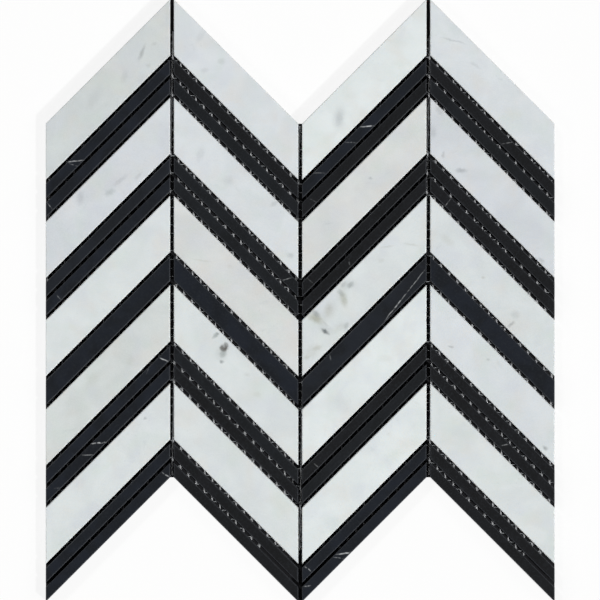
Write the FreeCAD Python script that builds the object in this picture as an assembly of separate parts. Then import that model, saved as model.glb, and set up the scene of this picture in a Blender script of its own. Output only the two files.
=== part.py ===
"""Chevron mosaic sheet: mitre-cut marble bars in four columns, bonded to a glass-fibre net.

Millimetres. X runs across the sheet, Y up the wall and Z out of the polished face.
The origin is the middle of the sheet's outline, on the plane the net lies on.
"""

import FreeCAD
import Part
import math
import os

# Marble bars, as sawn. A bar's width is measured square to its long edges.
column_width = 74.5
white_bar_width = 23.7
strip_width = 6.2
wide_strip_width = 10.4
stone_thickness = 10.0
mitre_angle = 45.0
arris = 0.5

# Laying pattern, from the top of a column down.
column_count = 4
column_joint = 2.3
bar_joint = 1.85
bars_down_a_column = (
    ("white_bar_1", white_bar_width),
    ("black_strip_1_upper", strip_width),
    ("black_strip_1_lower", strip_width),
    ("white_bar_2", white_bar_width),
    ("black_strip_2_upper", strip_width),
    ("black_strip_2_lower", strip_width),
    ("white_bar_3", white_bar_width),
    ("black_strip_3_wide", wide_strip_width),
    ("white_bar_4", white_bar_width),
    ("black_strip_4_upper", strip_width),
    ("black_strip_4_lower", strip_width),
    ("white_bar_5", white_bar_width),
    ("black_strip_5_upper", strip_width),
    ("black_strip_5_lower", strip_width),
)

# Glass-fibre net on the backs of the bars. Its strands cross in two layers, and it was laid a little
# askew, so the whole net is turned clockwise.
net_turn = 1.15
lengthwise_pitch = 4.82
lengthwise_strand_width = 1.2
lengthwise_strand_thickness = 0.25
crosswise_pitch = 5.18
crosswise_strand_width = 0.7
crosswise_strand_thickness = 0.2
net_below_the_top_points = 20.0
net_above_the_bottom_points = 30.0
net_edge_setback = 0.6
shortest_strand = 4.0

slope = math.tan(math.radians(mitre_angle))
along_y = 1.0 / math.cos(math.radians(mitre_angle))
net_thickness = lengthwise_strand_thickness + crosswise_strand_thickness
sheet_width = column_count * column_width + (column_count - 1) * column_joint
column_rise = column_width * slope
stack_height = along_y * (
    sum(width for name, width in bars_down_a_column) + (len(bars_down_a_column) - 1) * bar_joint
)
sheet_height = stack_height + column_rise
net_reach = math.hypot(sheet_width, sheet_height)


def column_left(column):
    """X of a column's left side. Columns count from 0 at the left."""
    return -sheet_width / 2 + column * (column_width + column_joint)


def side_heights(column, below_the_top):
    """Y at a column's left and right sides of a slanted line that far below the column's top edge."""
    high = sheet_height / 2 - below_the_top
    low = high - column_rise
    climbs_to_the_right = column % 2 == 0
    return (low, high) if climbs_to_the_right else (high, low)


def prism(corners, bottom, height):
    """A straight prism on a flat outline given as (x, y) corners."""
    points = [FreeCAD.Vector(x, y, bottom) for x, y in corners]
    outline = Part.makePolygon(points + points[:1])
    return Part.Face(outline).extrude(FreeCAD.Vector(0, 0, height))


def marble_bar(column, below_the_top, width):
    """One bar: a parallelogram prism with a fine arris round its polished face."""
    left = column_left(column)
    right = left + column_width
    top_left, top_right = side_heights(column, below_the_top)
    bottom_left, bottom_right = side_heights(column, below_the_top + width * along_y)
    corners = [(left, bottom_left), (right, bottom_right), (right, top_right), (left, top_left)]
    block = prism(corners, net_thickness, stone_thickness)
    polished_level = net_thickness + stone_thickness
    polished_edges = [edge for edge in block.Edges if edge.BoundBox.ZMin > polished_level - arris / 2]
    return block.makeChamfer(arris, polished_edges)


def net_outline():
    """The net's trimmed outline, a little inside the zigzag edge of the stones."""
    trim = net_edge_setback * along_y
    top, bottom = [], []
    for column in range(column_count):
        left = column_left(column)
        sides = (left, left + column_width)
        top += zip(sides, side_heights(column, trim))
        bottom += zip(sides, side_heights(column, stack_height - trim))
    top[0], bottom[0] = ((x + net_edge_setback, y) for x, y in (top[0], bottom[0]))
    top[-1], bottom[-1] = ((x - net_edge_setback, y) for x, y in (top[-1], bottom[-1]))
    return bottom + top[::-1]


def turned(shape):
    """The shape turned about the middle of the sheet, as the net lies."""
    return shape.rotated(FreeCAD.Vector(0, 0, 0), FreeCAD.Vector(0, 0, 1), -net_turn)


def net_window():
    """The stretch of the sheet that the net covers, as a prism to cut strands with."""
    lowest = -sheet_height / 2 + net_above_the_bottom_points
    highest = sheet_height / 2 - net_below_the_top_points
    corner = FreeCAD.Vector(-net_reach / 2, lowest, 0)
    band = Part.makeBox(net_reach, highest - lowest, net_thickness, corner)
    return prism(net_outline(), 0, net_thickness).common(turned(band))


def strands(window, pitch, strand):
    """Parallel strands at a pitch, half a pitch either side of the middle, each cut to the window."""
    pieces = []
    half_count = int(net_reach / 2 / pitch)
    for number in range(-half_count, half_count):
        for piece in turned(strand((number + 0.5) * pitch)).common(window).Solids:
            if max(piece.BoundBox.XLength, piece.BoundBox.YLength) > shortest_strand:
                pieces.append(piece)
    return Part.makeCompound(pieces)


def lengthwise_strand(x):
    """A strand that runs up the sheet, in the net's lower layer."""
    corner = FreeCAD.Vector(x - lengthwise_strand_width / 2, -net_reach / 2, 0)
    return Part.makeBox(lengthwise_strand_width, net_reach, lengthwise_strand_thickness, corner)


def crosswise_strand(y):
    """A strand that runs across the sheet, between the lower layer and the stones."""
    corner = FreeCAD.Vector(-net_reach / 2, y - crosswise_strand_width / 2, lengthwise_strand_thickness)
    return Part.makeBox(net_reach, crosswise_strand_width, crosswise_strand_thickness, corner)


def write(name, shape):
    """Saves one sub-part under its own name."""
    shape.exportStep(os.path.join("parts", name + ".step"))


os.makedirs("parts", exist_ok=True)

for column in range(column_count):
    below_the_top = 0.0
    for name, width in bars_down_a_column:
        write(f"column_{column + 1}_{name}", marble_bar(column, below_the_top, width))
        below_the_top += (width + bar_joint) * along_y

window = net_window()
write("net_lengthwise_strands", strands(window, lengthwise_pitch, lengthwise_strand))
write("net_crosswise_strands", strands(window, crosswise_pitch, crosswise_strand))

print("sheet", round(sheet_width, 2), "by", round(sheet_height, 2), "by", net_thickness + stone_thickness)
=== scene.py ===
"""Chevron mosaic sheet: honed marble bars on a glass-fibre net, lying face up on a pale studio floor."""

import math

import bpy
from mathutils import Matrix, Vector


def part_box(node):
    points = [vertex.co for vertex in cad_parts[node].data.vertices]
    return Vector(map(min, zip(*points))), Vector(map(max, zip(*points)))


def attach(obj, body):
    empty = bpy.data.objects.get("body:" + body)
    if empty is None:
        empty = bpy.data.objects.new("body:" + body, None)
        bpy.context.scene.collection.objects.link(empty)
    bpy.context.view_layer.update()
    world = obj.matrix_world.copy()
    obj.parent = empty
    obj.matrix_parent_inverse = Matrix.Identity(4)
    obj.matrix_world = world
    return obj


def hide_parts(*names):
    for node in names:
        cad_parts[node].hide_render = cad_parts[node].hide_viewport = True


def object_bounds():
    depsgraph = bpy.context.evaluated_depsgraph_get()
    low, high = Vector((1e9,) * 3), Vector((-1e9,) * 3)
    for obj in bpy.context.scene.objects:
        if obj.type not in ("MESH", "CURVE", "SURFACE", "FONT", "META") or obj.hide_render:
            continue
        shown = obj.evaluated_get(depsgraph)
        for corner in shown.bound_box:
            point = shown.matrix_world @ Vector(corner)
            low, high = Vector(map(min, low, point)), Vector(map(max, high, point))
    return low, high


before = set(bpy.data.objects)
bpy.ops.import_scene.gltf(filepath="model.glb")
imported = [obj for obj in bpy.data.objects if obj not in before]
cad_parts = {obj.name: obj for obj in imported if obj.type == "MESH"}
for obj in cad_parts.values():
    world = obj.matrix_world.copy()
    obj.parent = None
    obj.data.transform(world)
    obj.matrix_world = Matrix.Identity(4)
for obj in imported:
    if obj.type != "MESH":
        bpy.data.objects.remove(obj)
cad_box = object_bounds()


# The backing net is a scrim of glass rovings, dipped in clear acrylic resin that locks the crossings.
# Lengthwise rovings run in pairs, one over and one under each crosswise roving, and the two change
# sides between crossings. The net was trimmed to the zigzag edge and laid about a degree askew.
mm = 0.001
net_turn = math.radians(1.15)
net_along = Vector((math.sin(net_turn), math.cos(net_turn), 0))
net_across = Vector((math.cos(net_turn), -math.sin(net_turn), 0))
lengthwise_pitch = 4.82 * mm
crosswise_pitch = 5.18 * mm
lengthwise_roving_width = 0.92 * mm
crosswise_roving_width = 0.55 * mm
roving_thickness = 0.14 * mm
roving_lift = 0.005 * mm
pair_swing = 0.2 * mm
net_below_the_top_points = 20 * mm
net_above_the_bottom_points = 30 * mm
net_edge_setback = 0.8 * mm
shortest_roving = 4 * mm

# The boxes of each column's top and bottom stones, and whether its stones climb to the right.
columns = [
    (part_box(f"column_{number}_white_bar_1"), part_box(f"column_{number}_black_strip_5_lower"), number % 2 == 1)
    for number in (1, 2, 3, 4)
]


def srgb(code):
    """A linear colour with full alpha, from an sRGB hex code."""
    channels = [int(code[i:i + 2], 16) / 255 for i in (1, 3, 5)]
    linear = [c / 12.92 if c <= 0.04045 else ((c + 0.055) / 1.055) ** 2.4 for c in channels]
    return (*linear, 1.0)


def add_node(tree, kind, inputs=None, **settings):
    """A new node with its settings. Each input, by name or number, gets a value, a socket or a node."""
    node = tree.nodes.new(kind)
    for name, value in settings.items():
        setattr(node, name, value)
    for name, value in (inputs or {}).items():
        if isinstance(value, bpy.types.Node):
            value = next(socket for socket in value.outputs if socket.enabled)
        if isinstance(value, bpy.types.NodeSocket):
            tree.links.new(value, node.inputs[name])
        else:
            node.inputs[name].default_value = value
    return node


def sheet_edges(x):
    """Y of the sheet's lower and upper zigzag edges at x, level across the joints between columns."""
    reached = [column for column in columns if column[0][0][0] <= x] or columns[:1]
    top_box, bottom_box, climbs = reached[-1]
    left, right = top_box[0][0], top_box[1][0]
    from_left = min(max(x, left), right) - left
    from_right = right - left - from_left
    drop, rise = (from_right, from_left) if climbs else (from_left, from_right)
    return bottom_box[0][1] + rise, top_box[1][1] - drop


def on_net(point):
    """Whether a point lies inside the trimmed net."""
    half_width = columns[-1][0][1][0]
    low, high = sheet_edges(point.x)
    slanted_setback = net_edge_setback * math.sqrt(2)
    along = point.dot(net_along)
    return (
        abs(point.x) < half_width - net_edge_setback
        and low + slanted_setback < point.y < high - slanted_setback
        and cad_box[0][1] + net_above_the_bottom_points < along < cad_box[1][1] - net_below_the_top_points
    )


def roving_lines(name, direction, sideways, pitch):
    """A mesh of straight edges: the centre lines of one family of rovings, each cut to the net."""
    step = 0.25 * mm
    reach = (cad_box[1] - cad_box[0]).length / 2
    half_count = int(reach / pitch)
    half_steps = int(reach / step)
    points, edges = [], []
    for number in range(-half_count, half_count):
        # The middle of the sheet lies halfway between two rovings.
        middle = sideways * ((number + 0.5) * pitch)
        line = [middle + direction * (i * step) for i in range(-half_steps, half_steps)]
        inside = [on_net(point) for point in line]
        starts = [i for i in range(1, len(line)) if inside[i] and not inside[i - 1]]
        ends = [i for i in range(1, len(line)) if inside[i - 1] and not inside[i]]
        for start, end in zip(starts, ends):
            if (end - start) * step > shortest_roving:
                points += [line[start], line[end - 1]]
                edges.append((len(points) - 2, len(points) - 1))
    mesh = bpy.data.meshes.new(name)
    mesh.from_pydata([tuple(point) for point in points], edges, [])
    return mesh


def woven_roving_tree():
    """Turns straight centre lines into flattened rovings that swing to and fro between crossings."""
    tree = bpy.data.node_groups.new("woven_rovings", "GeometryNodeTree")
    tree.interface.new_socket("Geometry", in_out="OUTPUT", socket_type="NodeSocketGeometry")
    tree.interface.new_socket("Geometry", in_out="INPUT", socket_type="NodeSocketGeometry")
    for label, kind in (
        ("Along", "Vector"), ("Across", "Vector"), ("Crossing Pitch", "Float"), ("Swing", "Float"),
        ("Level", "Float"), ("Width", "Float"), ("Thickness", "Float"), ("Segment", "Float"),
        ("Wander", "Float"), ("Wander Length", "Float"), ("Seed", "Float"), ("Material", "Material"),
    ):
        tree.interface.new_socket(label, in_out="INPUT", socket_type=f"NodeSocket{kind}")
    given = add_node(tree, "NodeGroupInput").outputs
    curve = add_node(tree, "GeometryNodeMeshToCurve", {"Mesh": given["Geometry"]})
    curve = add_node(tree, "GeometryNodeResampleCurve", {
        "Curve": curve, "Length": given["Segment"],
    }, mode="LENGTH")

    # The pair swings by a half wave from one crossing to the next.
    place = add_node(tree, "GeometryNodeInputPosition")
    along = add_node(tree, "ShaderNodeVectorMath", {0: place, 1: given["Along"]}, operation="DOT_PRODUCT")
    across = add_node(tree, "ShaderNodeVectorMath", {0: place, 1: given["Across"]}, operation="DOT_PRODUCT")
    crossings = add_node(tree, "ShaderNodeMath", {0: along, 1: given["Crossing Pitch"]}, operation="DIVIDE")
    phase = add_node(tree, "ShaderNodeMath", {0: crossings, 1: math.pi}, operation="MULTIPLY")
    wave = add_node(tree, "ShaderNodeMath", {0: phase}, operation="SINE")
    swing = add_node(tree, "ShaderNodeMath", {0: wave, 1: given["Swing"]}, operation="MULTIPLY")

    # Each roving also wanders a little over its length, and is plumper in some places than others. The
    # noise tracks are narrow beside the pitch, so that neighbours don't wander alike.
    track_width = 0.37 * mm
    thinnest, plumpest = 0.8, 1.2
    own_track = add_node(tree, "ShaderNodeMath", {0: across, 1: 1 / track_width}, operation="MULTIPLY")
    lengths = add_node(tree, "ShaderNodeMath", {0: along, 1: given["Wander Length"]}, operation="DIVIDE")
    track = add_node(tree, "ShaderNodeCombineXYZ", {"X": own_track, "Y": lengths, "Z": given["Seed"]})
    noise = add_node(tree, "ShaderNodeTexNoise", {"Vector": track, "Scale": 1.0, "Detail": 1.0})
    drift = add_node(tree, "ShaderNodeMapRange", {"Value": noise, "To Min": -1.0, "To Max": 1.0})
    wander = add_node(tree, "ShaderNodeMath", {0: drift, 1: given["Wander"]}, operation="MULTIPLY")
    sideways = add_node(tree, "ShaderNodeMath", {0: swing, 1: wander}, operation="ADD")
    lift = add_node(tree, "ShaderNodeCombineXYZ", {"Z": given["Level"]})
    offset = add_node(tree, "ShaderNodeVectorMath", {
        0: given["Across"], 1: sideways, 2: lift,
    }, operation="MULTIPLY_ADD")
    plump = add_node(tree, "ShaderNodeMapRange", {"Value": noise, "To Min": thinnest, "To Max": plumpest})

    # A ring one unit across, flattened to the roving's width and thickness, is swept along it.
    ring_sides = 6
    curve = add_node(tree, "GeometryNodeSetPosition", {"Geometry": curve, "Offset": offset})
    curve = add_node(tree, "GeometryNodeSetCurveNormal", {"Curve": curve}, mode="Z_UP")
    curve = add_node(tree, "GeometryNodeSetCurveRadius", {"Curve": curve, "Radius": plump})
    ring = add_node(tree, "GeometryNodeCurvePrimitiveCircle", {"Resolution": ring_sides, "Radius": 0.5})
    flattened = add_node(tree, "ShaderNodeCombineXYZ", {
        "X": given["Width"], "Y": given["Thickness"], "Z": 1.0,
    })
    ring = add_node(tree, "GeometryNodeTransform", {"Geometry": ring, "Scale": flattened})
    solid = add_node(tree, "GeometryNodeCurveToMesh", {
        "Curve": curve, "Profile Curve": ring, "Fill Caps": True,
    })
    solid = add_node(tree, "GeometryNodeSetShadeSmooth", {"Geometry": solid})
    solid = add_node(tree, "GeometryNodeRealizeInstances", {"Geometry": solid})
    solid = add_node(tree, "GeometryNodeSetMaterial", {"Geometry": solid, "Material": given["Material"]})
    add_node(tree, "NodeGroupOutput", {"Geometry": solid})
    return tree


def grown(name, mesh, tree, values):
    """A plain mesh object: what the tree makes of a mesh, with the tree's inputs set by name."""
    source = bpy.data.objects.new(name, mesh)
    bpy.context.scene.collection.objects.link(source)
    modifier = source.modifiers.new("grow", "NODES")
    modifier.node_group = tree
    identifiers = {
        item.name: item.identifier for item in tree.interface.items_tree
        if item.item_type == "SOCKET" and item.in_out == "INPUT"
    }
    for label, value in values.items():
        modifier[identifiers[label]] = value
    evaluated = source.evaluated_get(bpy.context.evaluated_depsgraph_get())
    finished = bpy.data.meshes.new_from_object(evaluated)
    source.modifiers.remove(modifier)
    source.data = finished
    bpy.data.meshes.remove(mesh)
    return source


def resin_coated_glass(name, runs_along_y, dull, bright):
    """Resin-coated glass roving: white and slightly glossy, with fine streaks along its filaments."""
    # A filament is far too fine to show, so a streak stands for a bunch of them.
    streak_width = 0.09 * mm
    streak_length = 2.5 * mm
    streak_relief = 0.03 * mm
    material = bpy.data.materials.new(name)
    material.use_nodes = True
    tree = material.node_tree
    shader = tree.nodes["Principled BSDF"]
    place = add_node(tree, "ShaderNodeTexCoord").outputs["Object"]
    streaks_a_metre = [1 / streak_width] * 3
    streaks_a_metre[1 if runs_along_y else 0] = 1 / streak_length
    place = add_node(tree, "ShaderNodeMapping", {"Vector": place, "Scale": streaks_a_metre})
    streaks = add_node(tree, "ShaderNodeTexNoise", {"Vector": place, "Scale": 1.0, "Detail": 2.0})
    colour = add_node(tree, "ShaderNodeMix", {
        "Factor": streaks, "A": srgb(dull), "B": srgb(bright),
    }, data_type="RGBA")
    bump = add_node(tree, "ShaderNodeBump", {
        "Height": streaks, "Strength": 0.4, "Distance": streak_relief,
    })
    tree.links.new(colour.outputs["Result"], shader.inputs["Base Color"])
    tree.links.new(bump.outputs["Normal"], shader.inputs["Normal"])
    shader.inputs["Roughness"].default_value = 0.38
    shader.inputs["IOR"].default_value = 1.5
    return material


weave = woven_roving_tree()
lengthwise_finish = resin_coated_glass(
    "resin_coated_glass_lengthwise", runs_along_y=True, dull="#A6A8AA", bright="#CFD0D2",
)
crosswise_finish = resin_coated_glass(
    "resin_coated_glass_crosswise", runs_along_y=False, dull="#84888A", bright="#AAADB0",
)
bottom_layer = roving_lift + roving_thickness / 2
for name, level, swing in (
    ("net_rovings_under", bottom_layer, pair_swing),
    ("net_rovings_over", bottom_layer + 2 * roving_thickness, -pair_swing),
):
    lines = roving_lines(name, net_along, net_across, lengthwise_pitch)
    piece = grown(name, lines, weave, {
        "Along": net_along, "Across": net_across, "Crossing Pitch": crosswise_pitch, "Swing": swing,
        "Level": level, "Width": lengthwise_roving_width, "Thickness": roving_thickness,
        "Segment": crosswise_pitch / 4, "Wander": 0.5 * mm, "Wander Length": 60 * mm, "Seed": 1.0,
        "Material": lengthwise_finish,
    })
    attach(piece, "root")
    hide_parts("net_lengthwise_strands")

lines = roving_lines("net_rovings_crosswise", net_across, net_along, crosswise_pitch)
piece = grown("net_rovings_crosswise", lines, weave, {
    "Along": net_across, "Across": net_along, "Crossing Pitch": lengthwise_pitch, "Swing": 0.0,
    "Level": bottom_layer + roving_thickness, "Width": crosswise_roving_width, "Thickness": roving_thickness,
    "Segment": lengthwise_pitch / 2, "Wander": 0.3 * mm, "Wander Length": 45 * mm, "Seed": 9.0,
    "Material": crosswise_finish,
})
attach(piece, "root")
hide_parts("net_crosswise_strands")


# The white bars are a pale grey-white marble, sawn from slabs, honed smooth but not glossy, and glued to
# the net by their backs. The stone is crystalline, with soft clouds, a few grey wisps and specks, and no
# two bars match in tone.

# The light and dark colour of each tone, and the tone of each bar: a row for a column, from the top down.
white_tones = {
    "light": ("#E7EDED", "#DCE3E3"),
    "plain": ("#E0E6E6", "#D3D9DA"),
    "greyer": ("#DDE3E4", "#D0D6D7"),
    "bluish": ("#DFE4E7", "#D2D8DB"),
    "deep_bluish": ("#DADFE3", "#CACFD4"),
    "greenish": ("#DADFDE", "#C9CFCD"),
    "deep_greenish": ("#D6DCDC", "#C5CBCB"),
    "warm": ("#DEE1E0", "#CFD2D1"),
}
white_bar_tones = (
    ("deep_greenish", "deep_bluish", "plain", "greenish", "plain"),
    ("bluish", "bluish", "warm", "plain", "plain"),
    ("light", "warm", "plain", "light", "light"),
    ("bluish", "deep_bluish", "greyer", "bluish", "plain"),
)

# Specks and wisps that show on the white bars: x, y, length, width and tilt of each, how strong it is,
# and its colour. Millimetres and degrees, on the face of the sheet.
stain_colours = {"grey": "#4B5357", "green_grey": "#687672", "olive": "#7F7A50", "umber": "#3C362D"}
white_marble_marks = (
    (-94.8, 148.6, 10.5, 2.6, 68, 0.32, "grey"),
    (-87.4, 153.8, 3.5, 2.0, 20, 0.14, "grey"),
    (-91.0, 140.8, 3.0, 3.0, 0, 0.14, "grey"),
    (-123.3, 121.0, 16.0, 7.0, 60, 0.10, "grey"),
    (-105.4, 134.2, 9.0, 4.0, 75, 0.10, "grey"),
    (-113.8, 64.7, 7.0, 4.0, 30, 0.22, "grey"),
    (-107.8, 71.9, 12.0, 2.6, 38, 0.16, "grey"),
    (-97.0, 74.3, 6.0, 2.4, 50, 0.16, "grey"),
    (-131.7, 61.1, 9.0, 5.0, 80, 0.16, "grey"),
    (-47.3, 143.2, 5.4, 4.0, 0, 0.14, "grey"),
    (-57.4, 137.8, 5.0, 3.4, 0, 0.12, "grey"),
    (-59.8, 158.1, 8.0, 4.0, 60, 0.10, "grey"),
    (-59.8, 87.5, 9.0, 5.0, 70, 0.12, "grey"),
    (-15.5, 58.1, 6.0, 3.0, 30, 0.18, "grey"),
    (-5.9, 27.0, 5.0, 3.5, 0, 0.20, "grey"),
    (-43.1, 71.9, 8.0, 6.0, 0, 0.10, "grey"),
    (-58.6, 24.0, 12.0, 1.2, -8, 0.12, "olive"),
    (-41.9, 20.4, 4.0, 3.0, 0, 0.08, "olive"),
    (-50.6, -21.0, 5.0, 2.8, 45, 0.50, "green_grey"),
    (-49.4, -19.8, 2.2, 1.8, 0, 0.36, "grey"),
    (-47.2, -31.6, 7.5, 9.5, 0, 0.16, "green_grey"),
    (-46.3, -31.7, 4.8, 4.2, 70, 0.42, "green_grey"),
    (-45.6, -28.2, 5.4, 5.0, 40, 0.45, "umber"),
    (-46.9, -28.5, 3.6, 2.4, 80, 0.72, "umber"),
    (-45.2, -29.4, 3.8, 2.4, 20, 0.78, "umber"),
    (-44.5, -28.0, 3.4, 2.4, 60, 0.78, "umber"),
    (-44.6, -26.2, 3.0, 2.2, 30, 0.50, "umber"),
    (-47.0, -36.8, 2.4, 2.2, 90, 0.55, "grey"),
    (-31.7, -44.4, 4.0, 3.0, 0, 0.12, "olive"),
    (-25.7, -56.3, 5.0, 3.0, 0, 0.10, "olive"),
    (-92.8, -70.7, 2.2, 2.0, 0, 0.34, "grey"),
    (-124.5, -47.9, 14.0, 6.0, 50, 0.10, "olive"),
    (-101.8, -35.9, 8.0, 5.0, 80, 0.08, "olive"),
    (23.4, 109.6, 15.0, 8.0, 80, 0.15, "grey"),
    (23.4, 109.0, 10.0, 4.2, 82, 0.14, "grey"),
    (42.0, 73.1, 2.6, 1.8, 0, 0.26, "grey"),
    (28.6, 9.4, 10.0, 6.0, 10, 0.15, "green_grey"),
    (25.8, 9.4, 4.0, 2.6, 50, 0.22, "grey"),
    (30.2, 9.4, 4.6, 3.0, 20, 0.34, "grey"),
    (25.4, 2.4, 13.0, 6.0, -75, 0.12, "olive"),
    (24.4, 4.6, 5.4, 3.0, -50, 0.34, "green_grey"),
    (26.2, 0.4, 9.0, 4.2, -78, 0.28, "olive"),
    (17.6, -6.6, 13.0, 8.0, 70, 0.14, "olive"),
    (17.0, -5.6, 8.0, 4.6, 80, 0.18, "olive"),
    (52.2, 32.3, 9.0, 1.4, 8, 0.14, "olive"),
    (66.5, 33.5, 10.0, 1.6, -6, 0.14, "olive"),
    (48.6, 24.0, 4.0, 3.0, 0, 0.12, "olive"),
    (9.6, -10.2, 12.0, 8.0, -35, 0.16, "olive"),
    (9.4, -7.8, 7.2, 3.2, -46, 0.42, "grey"),
    (9.0, -11.0, 10.0, 4.6, -25, 0.38, "olive"),
    (15.4, -17.4, 9.0, 6.0, -36, 0.16, "grey"),
    (15.0, -18.5, 5.8, 2.3, -36, 0.80, "grey"),
    (15.2, -14.0, 4.0, 1.8, -30, 0.14, "grey"),
    (23.4, -16.4, 10.0, 5.0, 30, 0.14, "olive"),
    (27.6, -15.4, 5.0, 3.0, 70, 0.30, "green_grey"),
    (7.4, -30.6, 13.0, 8.0, 40, 0.13, "olive"),
    (10.0, -28.6, 5.8, 3.0, 20, 0.20, "olive"),
    (3.9, -34.0, 4.4, 2.6, 20, 0.18, "olive"),
    (51.0, -34.7, 9.0, 5.0, 0, 0.08, "olive"),
    (91.7, 155.7, 15.0, 1.3, -15, 0.20, "grey"),
    (104.9, 140.8, 8.0, 2.0, -30, 0.12, "grey"),
    (96.4, 77.9, 7.0, 3.0, -4, 0.32, "grey"),
    (85.7, 87.5, 4.6, 2.2, 80, 0.26, "grey"),
    (79.7, 100.7, 8.0, 4.0, 90, 0.18, "grey"),
    (83.3, 113.8, 7.0, 4.0, -50, 0.18, "grey"),
    (144.4, 24.0, 5.0, 3.0, -40, 0.24, "grey"),
    (109.7, 13.8, 2.4, 1.8, 0, 0.22, "olive"),
    (88.1, 35.9, 10.0, 5.0, -40, 0.12, "olive"),
    (126.4, -14.4, 5.6, 2.0, 40, 0.34, "grey"),
    (128.8, -8.4, 6.0, 5.0, 0, 0.14, "grey"),
    (90.5, -27.5, 3.4, 1.6, 0, 0.28, "grey"),
    (112.7, -35.3, 2.4, 1.6, 0, 0.22, "grey"),
    (146.8, -88.4, 4.0, 2.2, -30, 0.45, "grey"),
)


def lies_on(mark, node):
    """Whether a mark's centre lies on a stone's face. Stones climb in odd columns and fall in even ones."""
    x, y = mark[0] * mm, mark[1] * mm
    (left, bottom, _), (right, top, _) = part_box(node)
    climbs = int(node.split("_")[1]) % 2 == 1
    rise, drop = (x - left, right - x) if climbs else (right - x, x - left)
    return left < x < right and bottom + rise < y < top - drop


def place_on_sheet(tree):
    """The position on the sheet in millimetres."""
    place = add_node(tree, "ShaderNodeTexCoord").outputs["Object"]
    return add_node(tree, "ShaderNodeVectorMath", {0: place, "Scale": 1 / mm}, operation="SCALE")


def place_in_block(tree, place, number):
    """The position within the block that a stone was sawn from, so that no two stones share a pattern."""
    shift = Vector((137, 71, 53))
    turn = 2.4
    return add_node(tree, "ShaderNodeMapping", {
        "Vector": place, "Location": shift * number, "Rotation": (0, 0, turn * number),
    })


def patches(tree, place, size, low, high, detail=2.0, distortion=0.0, roughness=0.5):
    """Soft-edged patches about size millimetres across: 1 inside them and 0 outside."""
    noise = add_node(tree, "ShaderNodeTexNoise", {
        "Vector": place, "Scale": 1 / size, "Detail": detail,
        "Distortion": distortion, "Roughness": roughness,
    })
    return add_node(tree, "ShaderNodeMapRange", {
        "Value": noise, "From Min": low, "From Max": high,
    }, interpolation_type="SMOOTHSTEP")


def bent_place(tree, place, size, bend):
    """A position pushed about by up to bend millimetres, in waves about size millimetres long."""
    push = add_node(tree, "ShaderNodeTexNoise", {"Vector": place, "Scale": 1 / size, "Detail": 3.0})
    push = add_node(tree, "ShaderNodeVectorMath", {
        0: push.outputs["Color"], 1: (2 * bend, 2 * bend, 0), 2: (-bend, -bend, 0),
    }, operation="MULTIPLY_ADD")
    return add_node(tree, "ShaderNodeVectorMath", {0: place, 1: push}, operation="ADD")


def mark_mask(tree, place, mark, fade):
    """1 in the middle of a mark and 0 outside it, and fade is how soft its edge is, from 0 to 1."""
    x, y, length, width, tilt = mark[:5]
    through_the_stone = 1000
    turned = add_node(tree, "ShaderNodeMapping", {
        "Vector": place, "Location": (x, y, 0), "Rotation": (0, 0, math.radians(tilt)),
        "Scale": (length / 2, width / 2, through_the_stone),
    }, vector_type="TEXTURE")
    distance = add_node(tree, "ShaderNodeVectorMath", {0: turned}, operation="LENGTH")
    return add_node(tree, "ShaderNodeMapRange", {
        "Value": distance, "From Min": 1 + fade / 2, "From Max": 1 - fade,
    }, interpolation_type="SMOOTHSTEP")


def stained(tree, colour, where, strength, stain):
    """A colour with a stain over it, as strong as given where the mask is 1."""
    amount = add_node(tree, "ShaderNodeMath", {0: where, 1: strength}, operation="MULTIPLY")
    return add_node(tree, "ShaderNodeMix", {
        "Factor": amount, "A": colour, "B": srgb(stain),
    }, data_type="RGBA")


def sawn_part(tree):
    """1 on the sawn sides and back, half on the ground arrises, and 0 on the honed face."""
    # The upright part of the normal is 1 on the face, 0.71 on an arris, 0 on a side and -1 on the back.
    least_on_face, most_on_side = 0.95, 0.46
    normal = add_node(tree, "ShaderNodeNewGeometry").outputs["True Normal"]
    upright = add_node(tree, "ShaderNodeSeparateXYZ", {0: normal}).outputs["Z"]
    return add_node(tree, "ShaderNodeMapRange", {
        "Value": upright, "From Min": least_on_face, "From Max": most_on_side,
    })


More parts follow.
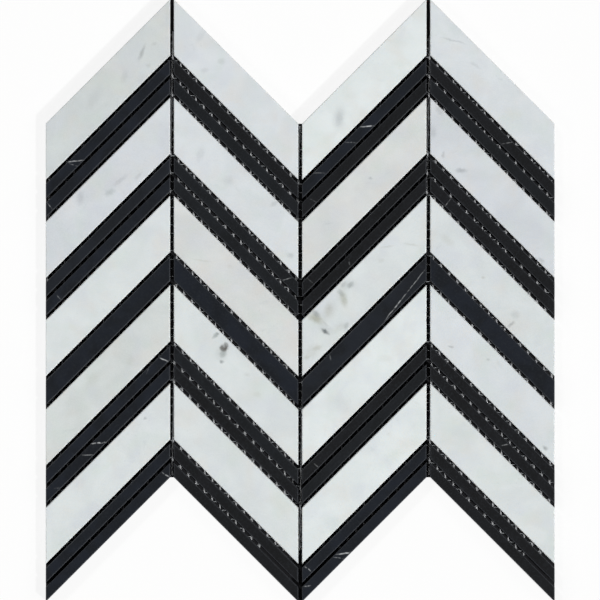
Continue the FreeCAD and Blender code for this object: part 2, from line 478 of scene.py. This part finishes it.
def honed_white_marble(node, number, tone):
    """Pale grey-white marble, honed: matt with a slight sheen, cloudy, and light enough to glow a little."""
    material = bpy.data.materials.new(node.replace("white_bar", "honed_white_marble"))
    material.use_nodes = True
    tree = material.node_tree
    shader = tree.nodes["Principled BSDF"]
    place = place_on_sheet(tree)
    block = place_in_block(tree, place, number)
    light, dark = white_tones[tone]

    # Clouds a couple of centimetres across and a finer mottle shade the stone from light to dark.
    mottle_size = 4.5
    mottle_share = 0.45
    clouds = patches(tree, block, size=24, low=0.32, high=0.68, detail=3, distortion=0.6)
    mottle = add_node(tree, "ShaderNodeTexNoise", {
        "Vector": block, "Scale": 1 / mottle_size, "Detail": 4.0, "Distortion": 0.4, "Roughness": 0.6,
    })
    shade = add_node(tree, "ShaderNodeMix", {"Factor": mottle_share, "A": clouds, "B": mottle})
    colour = add_node(tree, "ShaderNodeMix", {
        "Factor": shade, "A": srgb(light), "B": srgb(dark),
    }, data_type="RGBA")

    # Minerals tint it faintly, each in its own places.
    for shift, tint in ((60, "#D9D3CB"), (130, "#CBD9D0"), (200, "#CCD1DC")):
        beside = add_node(tree, "ShaderNodeVectorMath", {0: block, 1: (shift, shift, 0)}, operation="ADD")
        tinted = patches(tree, beside, size=17, low=0.48, high=0.75, distortion=0.3)
        colour = stained(tree, colour, tinted, strength=0.3, stain=tint)

    # Graphite draws grey specks, and wisps about three times as long as wide, in streaky regions only.
    drawn_out = (0.3, 1.0, 1.0)
    stretched = add_node(tree, "ShaderNodeMapping", {"Vector": block, "Scale": drawn_out})
    wisps = patches(tree, stretched, size=4, low=0.6, high=0.8, detail=3, distortion=0.3, roughness=0.6)
    specks = patches(tree, block, size=1.5, low=0.58, high=0.8, detail=3, distortion=0.2, roughness=0.6)
    streaky = patches(tree, block, size=19, low=0.46, high=0.68)
    graphite = add_node(tree, "ShaderNodeMath", {0: wisps, 1: specks}, operation="MAXIMUM")
    graphite = add_node(tree, "ShaderNodeMath", {0: graphite, 1: streaky}, operation="MULTIPLY")
    colour = stained(tree, colour, graphite, strength=0.3, stain="#A3AAAE")

    # The marks that show are drawn one by one, with ragged outlines.
    bent = bent_place(tree, place, size=2.6, bend=1.0)
    for mark in white_marble_marks:
        if lies_on(mark, node):
            strength, stain = mark[5:]
            mask = mark_mask(tree, bent, mark, fade=0.8)
            colour = stained(tree, colour, mask, strength, stain_colours[stain])

    # Crystals about half a millimetre across give a fine white grain.
    crystal_size = 0.55
    crystal_relief = 0.02 * mm
    crystals = add_node(tree, "ShaderNodeTexNoise", {
        "Vector": block, "Scale": 1 / crystal_size, "Detail": 2.0,
    })
    facets = patches(tree, block, crystal_size, low=0.35, high=0.7)
    colour = stained(tree, colour, facets, strength=0.1, stain="#FFFFFF")
    bump = add_node(tree, "ShaderNodeBump", {
        "Height": crystals, "Strength": 0.12, "Distance": crystal_relief,
    })

    # Sawing and grinding bruise the crystals, which leaves the sides whiter and rougher than the face,
    # and the arrises whiter still. The extra white on the arrises is partly bruised stone and partly painted
    # light, which lifts the shade on arrises turned away from the lamps. Folded at a half, the sawn mask is
    # above 0 on the arrises alone.
    sawn = sawn_part(tree)
    arris = add_node(tree, "ShaderNodeMath", {0: sawn, 1: 0.5}, operation="PINGPONG")
    colour = stained(tree, colour, sawn, strength=0.4, stain="#EEF0F0")
    colour = stained(tree, colour, arris, strength=0.7, stain="#FAFCFC")
    sawn_adds = 0.25
    honed = add_node(tree, "ShaderNodeMapRange", {"Value": mottle, "To Min": 0.36, "To Max": 0.48})
    rough = add_node(tree, "ShaderNodeMath", {0: sawn, 1: sawn_adds, 2: honed}, operation="MULTIPLY_ADD")
    tree.links.new(colour.outputs["Result"], shader.inputs["Base Color"])
    tree.links.new(bump.outputs["Normal"], shader.inputs["Normal"])
    tree.links.new(rough.outputs["Value"], shader.inputs["Roughness"])
    shader.inputs["IOR"].default_value = 1.49
    shader.inputs["Subsurface Weight"].default_value = 0.2
    shader.inputs["Subsurface Radius"].default_value = (1.0, 0.9, 0.8)
    shader.inputs["Subsurface Scale"].default_value = 1.5 * mm
    return material


for column, bar_tones in enumerate(white_bar_tones, start=1):
    for row, tone in enumerate(bar_tones, start=1):
        node = f"column_{column}_white_bar_{row}"
        marble = honed_white_marble(node, len(bar_tones) * column + row, tone)
        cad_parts[node].material_slots[0].material = marble


# The black strips are a fine-grained black marble with sparse white calcite veins. The faces are honed
# to a dark satin, and the ground arrises and sawn sides are greyer, as unpolished black marble is.

# The strips from the top down, the dark and light colour of each tone, and the tones by column.
black_strip_names = (
    "1_upper", "1_lower", "2_upper", "2_lower", "3_wide", "4_upper", "4_lower", "5_upper", "5_lower",
)
black_tones = {
    "deep": ("#0D0E10", "#121316"),
    "plain": ("#101316", "#15181C"),
    "bluish": ("#11151B", "#171C25"),
    "light": ("#14171C", "#1B1F26"),
}
black_strip_tones = (
    ("bluish", "bluish", "light", "bluish", "bluish", "bluish", "bluish", "bluish", "bluish"),
    ("deep", "plain", "plain", "plain", "bluish", "plain", "deep", "deep", "deep"),
    ("bluish", "deep", "deep", "deep", "light", "deep", "plain", "bluish", "bluish"),
    ("deep", "plain", "deep", "deep", "bluish", "deep", "deep", "deep", "deep"),
)

# White veins on the black strips: x, y, length, width and tilt of each, and how white it is.
# Millimetres and degrees, on the face of the sheet.
calcite_veins = (
    (-135.4, 83.4, 12.0, 0.75, 6, 0.60),
    (-135.9, 81.2, 5.0, 0.6, -18, 0.30),
    (-141.0, 86.2, 4.0, 0.6, -40, 0.25),
    (-150.0, 56.6, 5.0, 0.6, -52, 0.30),
    (-144.6, 1.8, 3.0, 0.6, -50, 0.30),
    (-81.7, -35.4, 6.6, 0.8, -27, 0.65),
    (-91.6, -42.5, 4.0, 0.6, 70, 0.20),
    (-120.4, -85.4, 11.4, 0.85, 6, 0.75),
    (-126.9, -92.5, 8.6, 0.6, 0, 0.36),
    (-145.0, -112.3, 5.0, 0.6, 5, 0.16),
    (-80.3, -104.4, 5.6, 0.8, -32, 0.55),
    (40.8, 104.4, 9.8, 0.85, 5, 0.70),
    (31.2, 94.6, 7.4, 0.65, -3, 0.36),
    (10.6, 76.4, 9.0, 0.6, 0, 0.18),
    (7.6, 59.9, 4.0, 0.6, -30, 0.20),
    (29.6, 22.1, 7.6, 0.6, 97, 0.12),
    (5.7, 12.0, 6.0, 0.6, -40, 0.15),
    (68.7, 10.8, 24.0, 0.6, 52, 0.33),
    (57.2, -3.7, 20.0, 0.75, 52, 0.52),
    (18.0, -34.1, 3.4, 0.9, 100, 0.14),
    (9.6, -98.8, 6.0, 0.6, -38, 0.22),
    (26.8, -151.4, 10.4, 0.9, 8, 0.75),
    (22.8, -154.2, 6.4, 0.6, -10, 0.34),
    (4.8, -161.0, 5.8, 0.8, -36, 0.50),
    (4.2, -171.0, 3.8, 0.8, 8, 0.45),
    (-7.8, 12.9, 6.4, 0.7, 17, 0.34),
    (124.6, 94.4, 7.4, 0.65, 12, 0.25),
    (88.4, 58.6, 6.6, 0.6, 54, 0.28),
    (123.5, -86.4, 6.2, 0.65, 10, 0.38),
)


def honed_black_marble(node, number, tone):
    """Black marble, honed: a dark satin face with greyer arrises and fine white veins."""
    material = bpy.data.materials.new(node.replace("black_strip", "honed_black_marble"))
    material.use_nodes = True
    tree = material.node_tree
    shader = tree.nodes["Principled BSDF"]
    place = place_on_sheet(tree)
    block = place_in_block(tree, place, number)
    dark, light = black_tones[tone]

    # Faint clouds and a fine grey grain break up the black. A real grain is too fine to show, so this
    # one is drawn about a millimetre across.
    grain_size = 0.9
    grain_relief = 0.02 * mm
    clouds = patches(tree, block, size=14, low=0.35, high=0.65, detail=3, distortion=0.5)
    colour = add_node(tree, "ShaderNodeMix", {
        "Factor": clouds, "A": srgb(dark), "B": srgb(light),
    }, data_type="RGBA")
    grain = add_node(tree, "ShaderNodeTexNoise", {
        "Vector": block, "Scale": 1 / grain_size, "Detail": 3.0, "Roughness": 0.6,
    })
    greyer = patches(tree, block, grain_size, low=0.45, high=0.8, detail=3, roughness=0.6)
    colour = stained(tree, colour, greyer, strength=0.8, stain="#24282C")
    bump = add_node(tree, "ShaderNodeBump", {"Height": grain, "Strength": 0.1, "Distance": grain_relief})

    # Calcite fills old cracks: those that show are drawn one by one, thinner where the crack pinched.
    bent = bent_place(tree, place, size=4.0, bend=0.5)
    open_crack = patches(tree, place, size=2.0, low=0.3, high=0.6)
    for vein in calcite_veins:
        if lies_on(vein, node):
            whiteness = vein[5]
            mask = mark_mask(tree, bent, vein, fade=0.9)
            mask = add_node(tree, "ShaderNodeMath", {0: mask, 1: open_crack}, operation="MULTIPLY")
            colour = stained(tree, colour, mask, whiteness, "#D9DCDD")

    # Saw and grindstone leave the sides greyer and duller than the face, with the arrises in between.
    sawn = sawn_part(tree)
    colour = stained(tree, colour, sawn, strength=0.8, stain="#4A4D53")
    rough = add_node(tree, "ShaderNodeMapRange", {"Value": sawn, "To Min": 0.3, "To Max": 0.9})
    tree.links.new(colour.outputs["Result"], shader.inputs["Base Color"])
    tree.links.new(bump.outputs["Normal"], shader.inputs["Normal"])
    tree.links.new(rough.outputs["Result"], shader.inputs["Roughness"])
    shader.inputs["IOR"].default_value = 1.49
    return material


first_black_block = 40
for column, strip_tones in enumerate(black_strip_tones, start=1):
    for row, tone in enumerate(strip_tones, start=1):
        node = f"column_{column}_black_strip_{black_strip_names[row - 1]}"
        marble = honed_black_marble(node, first_black_block + len(strip_tones) * column + row, tone)
        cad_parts[node].material_slots[0].material = marble


# The studio is a pale floor, and a thin black card laid under the sheet: a dark sheet that stands as
# painted shade in the open joints, so that they look down on black. It is cut a hair wider than the
# sheet, or the camera would see white past the ends of the joints. Neither is part of the object.
card_overhang = 0.3 * mm
card_thickness = 0.1 * mm
card_gap = 0.005 * mm
floor_reach = 20.0


def flat_stage(name, corners, level, material):
    """A flat stage sheet on corners given as (x, y)."""
    mesh = bpy.data.meshes.new(name)
    mesh.from_pydata([(x, y, level) for x, y in corners], [], [tuple(range(len(corners)))])
    mesh.materials.append(material)
    sheet = bpy.data.objects.new(name, mesh)
    bpy.context.scene.collection.objects.link(sheet)


def floor_paint():
    """Matt white paint, lifted towards white where the camera or a reflection sees it."""
    lift = 0.85
    material = bpy.data.materials.new("matt_white_paint")
    material.use_nodes = True
    tree = material.node_tree
    shader = tree.nodes["Principled BSDF"]
    shader.inputs["Base Color"].default_value = srgb("#F4F4F3")
    shader.inputs["Roughness"].default_value = 0.9
    ray = add_node(tree, "ShaderNodeLightPath").outputs
    seen = add_node(tree, "ShaderNodeMath", {
        0: ray["Is Camera Ray"], 1: ray["Is Glossy Ray"],
    }, operation="MAXIMUM")
    seen = add_node(tree, "ShaderNodeMath", {0: seen, 1: ray["Is Transmission Ray"]}, operation="MAXIMUM")
    lifted = add_node(tree, "ShaderNodeMath", {0: seen, 1: lift}, operation="MULTIPLY")
    glow = add_node(tree, "ShaderNodeEmission", {"Color": srgb("#FFFFFF"), "Strength": 1.0})
    mix = add_node(tree, "ShaderNodeMixShader", {0: lifted, 1: shader, 2: glow})
    tree.links.new(mix.outputs["Shader"], tree.nodes["Material Output"].inputs["Surface"])
    return material


def card_black():
    """Black card: wholly matt, so that no lamp glints on it."""
    material = bpy.data.materials.new("matt_black_card")
    material.use_nodes = True
    shader = material.node_tree.nodes["Principled BSDF"]
    shader.inputs["Base Color"].default_value = srgb("#28282A")
    shader.inputs["Roughness"].default_value = 1.0
    shader.inputs["Specular IOR Level"].default_value = 0.0
    return material


def card_corners():
    """The sheet's zigzag outline, enlarged by the card's overhang at the sides."""
    enlarged = 1 + card_overhang / cad_box[1][0]
    top, bottom = [], []
    for top_box, _, _ in columns:
        for x in (top_box[0][0], top_box[1][0]):
            low, high = sheet_edges(x)
            top.append((x * enlarged, high * enlarged))
            bottom.append((x * enlarged, low * enlarged))
    return bottom + top[::-1]


floor_corners = [(x * floor_reach, y * floor_reach) for x, y in ((-1, -1), (1, -1), (1, 1), (-1, 1))]
flat_stage("floor", floor_corners, -card_thickness, floor_paint())
# The black card is painted shade for the deep open joints.
flat_stage("card", card_corners(), -card_gap, card_black())


# The lights are far soft lamps, at a level at which a colour shows about as written. The main one and
# its counter shine along the falling joints and reach the net in them; the rest leave joints dark.
world_level = 0.08

# Each lamp's name, bearing, height, level and width. The bearing is counted anticlockwise from the
# sheet's right, and bearing, height and width are in degrees.
lamps = (
    ("main_light", -40.5, 50, 0.46, 4),
    ("counter_light", 131, 52, 0.18, 6),
    ("right_light", 0, 42, 0.10, 20),
    ("left_light", 180, 42, 0.10, 20),
    ("foot_light", -90, 50, 0.07, 5),
)
for name, bearing, height, level, width in lamps:
    light = bpy.data.lights.new(name, "SUN")
    light.energy = level * math.pi / math.sin(math.radians(height))
    light.angle = math.radians(width)
    lamp = bpy.data.objects.new(name, light)
    lamp.rotation_euler = (0, math.radians(90 - height), math.radians(bearing))
    bpy.context.scene.collection.objects.link(lamp)

world = bpy.data.worlds.new("studio")
world.use_nodes = True
world.node_tree.nodes["Background"].inputs["Color"].default_value = srgb("#FFFFFF")
world.node_tree.nodes["Background"].inputs["Strength"].default_value = world_level
bpy.context.scene.world = world
bpy.context.scene.view_settings.view_transform = "Standard"


# The camera looks straight down on the sheet through a long lens, as in the photograph. It aims a hair
# off the middle, which shares out the small offsets of the hand-laid stones.
frame_height = 359.4 * mm
aim = (-0.12 * mm, 0.3 * mm)
eye = bpy.data.cameras.new("camera")
eye.sensor_width = 36
eye.lens = 400
eye.clip_end = 50
distance = frame_height * eye.lens / eye.sensor_width
camera = bpy.data.objects.new("camera", eye)
camera.location = (aim[0], aim[1], cad_box[1][2] + distance)
bpy.context.scene.collection.objects.link(camera)
bpy.context.scene.camera = camera
